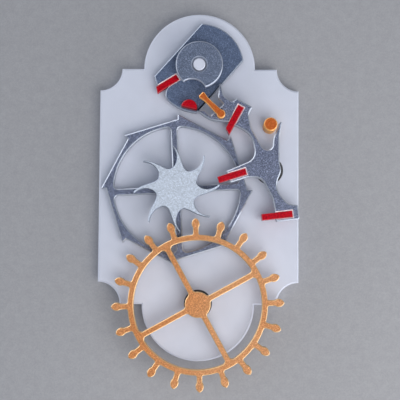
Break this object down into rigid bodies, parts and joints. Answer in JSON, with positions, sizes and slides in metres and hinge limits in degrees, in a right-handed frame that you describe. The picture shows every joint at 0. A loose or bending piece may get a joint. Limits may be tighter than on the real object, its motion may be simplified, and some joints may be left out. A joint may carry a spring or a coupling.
{
  "type": "co-axial escapement model",
  "caption": "Flat bench model of a co-axial escapement: a drive wheel turns a star and escape wheel that a forked lever with red stones locks and frees for the balance rollers.",
  "frame": {"origin": "middle of the plate's rectangle, on the plate's flat back face", "axes": "+Z out of the plate's working side, +Y along the plate from the drive wheel to the balance, +X to the lever's side"},
  "size_m": [0.1, 0.188, 0.0219],
  "materials": {
    "plate": "white print, smooth top face",
    "silver": "silver-grey print with a fine sparkling grain",
    "slate": "darker blue-grey print with a fine grain",
    "pale_silver": "pale silver print with a fine grain",
    "amber": "orange print with a fine grain",
    "ruby": "clear red, polished",
    "steel": "ground",
    "seal": "black, satin"
  },
  "bodies": {
    "base": {"base_plate": "plate", "balance_post": "plate", "banking_pin": "amber", "drive_bearing_outer_race": "steel", "drive_bearing_balls": "steel", "drive_bearing_seals": "seal", "escape_bearing_outer_race": "steel", "escape_bearing_balls": "steel", "escape_bearing_seals": "seal", "lever_bearing_outer_race": "steel", "lever_bearing_balls": "steel", "lever_bearing_seals": "seal"},
    "drive_wheel": {"drive_wheel": "amber", "drive_arbor": "steel", "drive_bearing_inner_race": "steel"},
    "escape_wheel": {"escape_wheel": "silver", "impulse_star": "pale_silver", "escape_arbor": "steel", "escape_bearing_inner_race": "steel"},
    "lever": {"lever": "silver", "lever_arbor": "steel", "lever_bearing_inner_race": "steel", "upper_locking_stone": "ruby", "impulse_stone": "ruby", "lower_locking_stone": "ruby", "guard_dart": "amber"},
    "balance": {"impulse_roller": "slate", "safety_roller": "silver", "balance_stone": "ruby", "roller_pin": "ruby"}
  },
  "joints": [
    {"name": "drive_turn", "type": "hinge", "parent": "base", "child": "drive_wheel", "pos_m": [0, -0.05875, 0.0147], "axis": [0, 0, 1], "range_deg": [-9, 0]},
    {"name": "escape_turn", "type": "hinge", "parent": "base", "child": "escape_wheel", "pos_m": [-0.01075, -0.00226, 0.0104], "axis": [0, 0, 1], "range_deg": [0, 22.5]},
    {"name": "lever_swing", "type": "hinge", "parent": "base", "child": "lever", "pos_m": [0.03522, 0.00797, 0.0147], "axis": [0, 0, 1], "range_deg": [-16, 0]},
    {"name": "balance_turn", "type": "hinge", "parent": "base", "child": "balance", "pos_m": [0, 0.05875, 0.0104], "axis": [0, 0, 1], "range_deg": [-250, 28]}
  ],
  "couplings": [
    {"joint": "escape_turn", "follows": "drive_turn", "ratio": -2.5},
    {"joint": "lever_swing", "follows": "drive_turn", "ratio": 1.7778}
  ]
}
